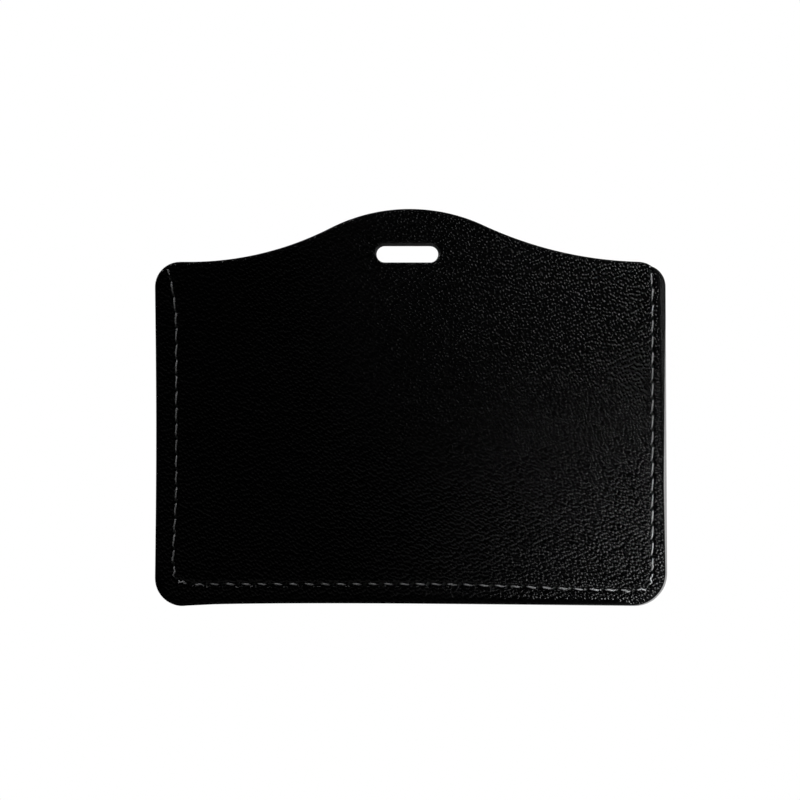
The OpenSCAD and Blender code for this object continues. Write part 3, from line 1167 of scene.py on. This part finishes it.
@dataclass
class WindowFront:
    """The clear film and the leather frame, formed over the pocket's room.

    The frame's leather closes round the thread in each needle hole, so no light comes through the seam.
    """

    plan: Plan
    relief: LeatherRelief = LeatherRelief()
    film_hole_r: float = 0.4
    frame_hole_r: float = 0.15
    film_rim: float = 1.4
    film_gap: float = 0.02
    film_roll: float = 0.06
    film_roll_reach: float = 0.1
    mark_step: float = 0.9
    mark_shares: tuple[float, ...] = (-0.15, 0.1, 0.3, 0.5, 0.7, 0.9, 1.15)
    mark_end: float = 0.3
    calm_x: float = 12.0
    calm_z: float = 10.0
    waves: Swell = Swell(0.12, 26.0, 1.7)
    wave_tall_share: float = 0.6
    ripples: Swell = Swell(0.03, 9.0, 4.2)

    def rise(self, at: Places) -> np.ndarray:
        """How far the front is raised over the pocket."""
        return self.plan.pocket_gap * ease(at.into_pocket / self.plan.ramp_w)

    def film_rise(self, at: Places) -> np.ndarray:
        """How far the film is raised, with its slight waves in the window and none under the frame.

        Args:
            at: where the sheet's points are.

        Returns:
            The rise at each point.
        """
        x0, x1, z0, z1 = self.plan.window_box()
        free = (ease((at.x - x0) / self.calm_x) * ease((x1 - at.x) / self.calm_x)
                * ease((at.z - z0) / self.calm_z) * ease((z1 - at.z) / self.calm_z))
        uneven = self.waves.over(at.x, at.z * self.wave_tall_share) + self.ripples.over(at.x, at.z)
        return self.rise(at) + free * uneven

    def ramp_marks(self) -> list[Points]:
        """Lines of points that follow the slope up to the pocket.

        Returns:
            One line for each share of the slope's width.
        """
        line = spaced(self.plan.pocket_line()[1:], self.mark_step)
        out = left_of(unit(np.gradient(line, axis=0)))
        marks = [line + out * share * self.plan.ramp_w for share in self.mark_shares]
        return [m[m[:, 1] < self.plan.mouth_z - self.mark_end] for m in marks]

    def build(self) -> None:
        """Builds and dresses the film and the frame."""
        plan, relief = self.plan, self.relief
        film = CutSheet(plan, plan.film_outline(), [], self.film_hole_r, edge_rings=(0.05, 0.12, 0.3, 1.0),
                        marks=self.ramp_marks(), good=Good.BOTH, rim_w=self.film_rim).build(
            "window_vinyl", lambda at: plan.film_y + self.film_gap + self.film_rise(at),
            lambda at: plan.frame_y - self.film_gap + self.film_rise(at)
            - rounded(at.edge, self.film_roll, self.film_roll_reach))
        dress(film, [ClearVinyl().make(), film_margin_painted_shade().make()], "window_film")
        border = CutSheet(plan, plan.frame_outline(), [plan.window_outline()], self.frame_hole_r,
                          marks=self.ramp_marks(), good=Good.FAR).build(
            "frame_leather_grained", lambda at: plan.frame_y + self.rise(at),
            lambda at: plan.seam_face + self.rise(at) - relief.sunk(at), relief.pressed)
        dress(border, [EmbossedLeather().make(), knit_backing().make()], "front_frame")


@dataclass
class Seam:
    """The lockstitched seam: two three-ply threads that lock in every needle hole.

    Each row of dive is a point of a thread on its way into a hole: how far it is from the hole along the
    seam, how far below the face, and which share of its way to its own side of the hole it has gone.
    """

    plan: Plan
    thread_d: float = 0.35
    gap: float = 0.04
    plies: int = 3
    ply_r: float = 0.095
    ply_out: float = 0.1
    twist_mm: float = 1.25
    sides: int = 5
    step: float = 0.17
    bend_steps: int = 8
    face_sunk: float = 0.05
    arch: float = 0.03
    dive: tuple[tuple[float, float, float], ...] = (
        (1.45, 0.03, 0.3), (1.15, 0.09, 0.4), (0.93, 0.22, 0.6), (0.73, 0.5, 0.85), (0.5, 0.85, 1.0))
    steep_share: float = 0.74
    leg_share: float = 0.92
    leg_rise: float = 0.3
    turn_share: float = 0.8
    tail_right: float = 0.8

    def path(self, face_y: float, turn_y: float, legs: Legs) -> Points:
        """A thread's way through all needle holes. It goes down more steeply on the wallet's two sides.

        Args:
            face_y: y of the thread's middle along the face.
            turn_y: y where it turns round the other thread.
            legs: how its two legs stand in a hole.

        Returns:
            The points of the way.
        """
        holes = self.plan.needle_holes()
        lock_reach = self.thread_d + 2 * self.gap
        face_reach = (self.thread_d + self.gap) / 2
        inward = 1 if turn_y > face_y else -1
        tails = (self.plan.thread_tail, self.tail_right) if legs is Legs.ACROSS_SEAM else (0.0, 0.0)
        last = len(holes) - 1
        made: list[tuple[float, float, float]] = []

        def put(p: Points, y: float) -> None:
            """Adds a point of the way."""
            made.append((float(p[0]), y, float(p[1])))

        for k, (p, t) in enumerate(zip(holes, along_holes(holes))):
            way = left_of(t) if legs is Legs.ACROSS_SEAM else t
            steep = 1.0 if abs(t[0]) > abs(t[1]) else self.steep_share
            turn = [(lock_reach * self.leg_share, 0.0, turn_y - inward * self.leg_rise),
                    (lock_reach * self.turn_share, 0.0, turn_y)]
            leg = [(face_reach * side, short * steep, face_y + inward * down)
                   for short, down, side in self.dive] + turn
            going_in = leg if k > 0 or tails[0] else turn
            coming_out = leg if k < last or tails[1] else turn
            if k == 0 and tails[0]:
                put(p - way * face_reach - t * tails[0], face_y)
            for out, short, y in going_in:
                put(p - way * out - t * short, y)
            for out, short, y in reversed(coming_out):
                put(p + way * out + t * short, y)
            if k == last and tails[1]:
                put(p + way * face_reach + t * tails[1], face_y)
            if k < last:
                put((p + holes[k + 1]) / 2, face_y - inward * self.arch)
        return np.array(made)

    def smooth(self, points: Points) -> Points:
        """Rounds a way's bends and spaces its points evenly.

        Args:
            points: the way's points.

        Returns:
            The points of the rounded way.
        """
        ends = np.vstack([2 * points[0] - points[1], points, 2 * points[-1] - points[-2]])
        made = []
        for i in range(1, len(ends) - 2):
            p0, p1, p2, p3 = ends[i - 1:i + 3]
            for t in np.arange(self.bend_steps) / self.bend_steps:
                made.append(0.5 * (2 * p1 + (p2 - p0) * t + (2 * p0 - 5 * p1 + 4 * p2 - p3) * t**2
                                   + (3 * p1 - p0 - 3 * p2 + p3) * t**3))
        return spaced(np.array(made + [points[-1]]), self.step)

    def build_thread(self, name: str, points: Points) -> bpy.types.Object:
        """Lays twisted plies along a way.

        Args:
            name: the piece's name.
            points: the way's points.

        Returns:
            The thread.
        """
        line = self.smooth(points)
        along = unit(np.gradient(line, axis=0))
        across = np.zeros_like(line)
        # The first one may be any that is square to the thread.
        across[0] = unit(np.cross(along[0], [0.0, 1.0, 0.3]))
        for i in range(1, len(line)):
            across[i] = unit(across[i - 1] - along[i] * (across[i - 1] @ along[i]))
        up = np.cross(along, across)
        turn = 2 * np.pi * run_of(line) / self.twist_mm
        ring = 2 * np.pi * np.arange(self.sides) / self.sides
        n, sides = len(line), self.sides
        verts, faces = [], []
        for ply in range(self.plies):
            a = turn + 2 * np.pi * ply / self.plies
            out = np.cos(a)[:, None] * across + np.sin(a)[:, None] * up
            beside = -np.sin(a)[:, None] * across + np.cos(a)[:, None] * up
            skin = np.cos(ring)[None, :, None] * out[:, None] + np.sin(ring)[None, :, None] * beside[:, None]
            first = ply * n * sides
            verts.append(((line + out * self.ply_out)[:, None] + self.ply_r * skin).reshape(-1, 3))
            for i in range(first, first + (n - 1) * sides, sides):
                faces += [(i + s, i + (s + 1) % sides, i + (s + 1) % sides + sides, i + s + sides)
                          for s in range(sides)]
            faces.append(tuple(first + s for s in reversed(range(sides))))
            faces.append(tuple(first + (n - 1) * sides + s for s in range(sides)))
        mesh = bpy.data.meshes.new(name)
        mesh.from_pydata(self.plan.to_frame(np.vstack(verts)).tolist(), [], faces)
        mesh.polygons.foreach_set("use_smooth", np.ones(len(faces), bool))
        mesh.update()
        return new_object(name, mesh)

    def build(self) -> None:
        """Builds and dresses both threads."""
        plan = self.plan
        lock_y = (plan.board_y + plan.film_y) / 2
        half_lock = (self.thread_d + self.gap) / 2
        back = self.path(plan.back_face + self.face_sunk, lock_y + half_lock, Legs.ACROSS_SEAM)
        front = self.path(plan.seam_face - self.face_sunk, lock_y - half_lock, Legs.ALONG_SEAM)
        yarn = sewing_thread().make()
        for name, node, way in (("thread_back", "bobbin_thread", back),
                                ("thread_front", "needle_thread", front)):
            dress(self.build_thread(name, way), [yarn], node)


# Studio


@dataclass(frozen=True)
class Lamp:
    """A soft square lamp whose grid lets light through at up to spread_deg. Lengths are in metres here."""

    name: str
    place: tuple[float, float, float]
    aim: tuple[float, float, float]
    size: float
    power: float
    spread_deg: float = 180.0

    def light(self) -> None:
        """Hangs the lamp."""
        data = bpy.data.lights.new(self.name, "AREA")
        data.shape, data.size, data.energy = "SQUARE", self.size, self.power
        data.spread = math.radians(self.spread_deg)
        made = new_object(self.name, data)
        made.location = self.place
        made.rotation_euler = (Vector(self.aim) - Vector(self.place)).to_track_quat("-Z", "Y").to_euler()


@dataclass
class Studio:
    """Camera, lamps, world and floor round the hanging wallet. Lengths are in metres here."""

    look_x: float = -0.00159
    look_z: float = -0.03178
    camera_y: float = -0.6
    face_y: float = -0.00095
    view_w: float = 0.17234
    sensor_mm: float = 36.0
    floor_z: float = -0.36
    floor_r: float = 1.2
    floor_sides: int = 96
    room: float = 0.01
    sweep_from: float = -0.05
    sweep_full: float = 0.2
    lamps: tuple[Lamp, ...] = (
        Lamp("key_right", (0.14, -0.10, -0.10), (0.085, 0.0, -0.085), 0.04, 0.04, 45.0),
        Lamp("fill_top", (0.26, -0.19, 0.12), (0.15, 0.0, 0.055), 0.07, 0.21, 44.0),
        Lamp("rake_left", (-0.16, -0.08, 0.37), (-0.05, 0.0, -0.03), 0.08, 0.28, 90.0),
        Lamp("front_soft", (-0.35, 0.55, 0.35), (0.0, 0.0, -0.034), 0.5, 5.0))

    def camera(self) -> None:
        """Places the camera square on the plain back, as the photograph was taken."""
        data = bpy.data.cameras.new("camera")
        data.sensor_width = self.sensor_mm
        data.lens = self.sensor_mm * (self.face_y - self.camera_y) / self.view_w
        made = new_object("camera", data)
        made.location = (self.look_x, self.camera_y, self.look_z)
        made.rotation_euler = (math.pi / 2, 0, 0)
        bpy.context.scene.camera = made

    def world(self) -> None:
        """A white sweep behind the wallet, and a dim room on the camera's side of it."""
        made = bpy.data.worlds.new("white_sweep")
        made.use_nodes = True
        tree = made.node_tree
        tree.nodes.clear()
        path = add_node(tree, "ShaderNodeLightPath")
        place = add_node(tree, "ShaderNodeTexCoord").outputs["Generated"]
        parts = add_node(tree, "ShaderNodeSeparateXYZ", links={"Vector": place})
        behind = add_node(tree, "ShaderNodeMapRange", {
            "From Min": self.sweep_from, "From Max": self.sweep_full}, {"Value": parts.outputs["Y"]},
            interpolation_type="SMOOTHSTEP")
        mirrored = add_node(tree, "ShaderNodeMath", links={0: behind, 1: path.outputs["Is Glossy Ray"]},
                            operation="MULTIPLY")
        seen = add_node(tree, "ShaderNodeMath", links={
            0: path.outputs["Is Camera Ray"], 1: path.outputs["Is Transmission Ray"]}, operation="MAXIMUM")
        white = add_node(tree, "ShaderNodeMath", links={0: seen, 1: mirrored}, operation="MAXIMUM")
        dim = add_node(tree, "ShaderNodeBackground", {"Color": WHITE, "Strength": self.room})
        sweep = add_node(tree, "ShaderNodeBackground", {"Color": WHITE, "Strength": 1.0})
        both = add_node(tree, "ShaderNodeMixShader", links={0: white, 1: dim, 2: sweep})
        add_node(tree, "ShaderNodeOutputWorld", links={"Surface": both})
        bpy.context.scene.world = made

    def floor(self) -> None:
        """A pale round floor well below the hanging wallet."""
        rim = arc((0, 0), self.floor_r, 0, 360, self.floor_sides)[:-1]
        mesh = bpy.data.meshes.new("floor")
        mesh.from_pydata([(x, y, self.floor_z) for x, y in rim], [], [tuple(range(self.floor_sides))])
        mesh.materials.append(FloorPaint().make())
        disc = new_object("floor", mesh)

    def build(self) -> None:
        """Sets up the whole studio."""
        self.camera()
        self.world()
        for lamp in self.lamps:
            lamp.light()
        self.floor()
        bpy.context.scene.view_settings.view_transform = "Standard"
        LOG.info("studio is set")


def main() -> None:
    """Builds the studio and the wallet."""
    logging.basicConfig(level=logging.INFO, format="%(message)s")
    plan = Plan()
    Studio().build()
    BackPanel(plan).build()
    WindowFront(plan).build()
    Seam(plan).build()


if __name__ == "__main__":
    main()
